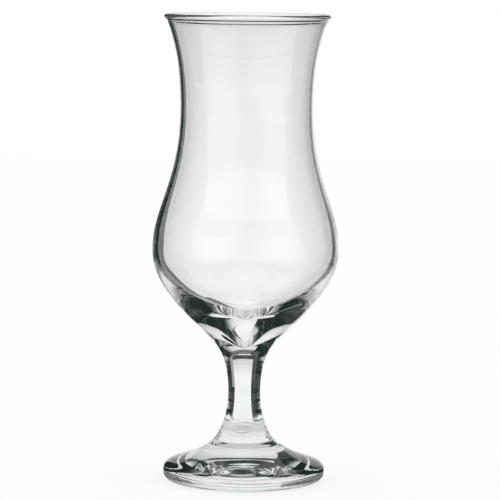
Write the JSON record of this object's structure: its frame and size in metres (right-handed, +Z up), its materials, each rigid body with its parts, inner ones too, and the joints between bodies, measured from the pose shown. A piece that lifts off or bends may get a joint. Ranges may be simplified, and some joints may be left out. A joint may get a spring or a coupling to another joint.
{
  "type": "hurricane glass",
  "caption": "Stemmed clear drinking glass with a pear-shaped bowl, waisted and flared at the mouth, on a short solid stem and a thick domed foot.",
  "frame": {"origin": "centre of the underside of the foot, on the table", "axes": "+Z up along the axis of the glass, from the foot to the rim; the glass is round about Z, so X and Y are alike"},
  "size_m": [0.0819, 0.0818, 0.205],
  "materials": {
    "glass": "clear soda-lime glass, fire polished"
  },
  "bodies": {
    "root": {"bowl": "glass", "stem": "glass", "foot": "glass"}
  },
  "joints": []
}
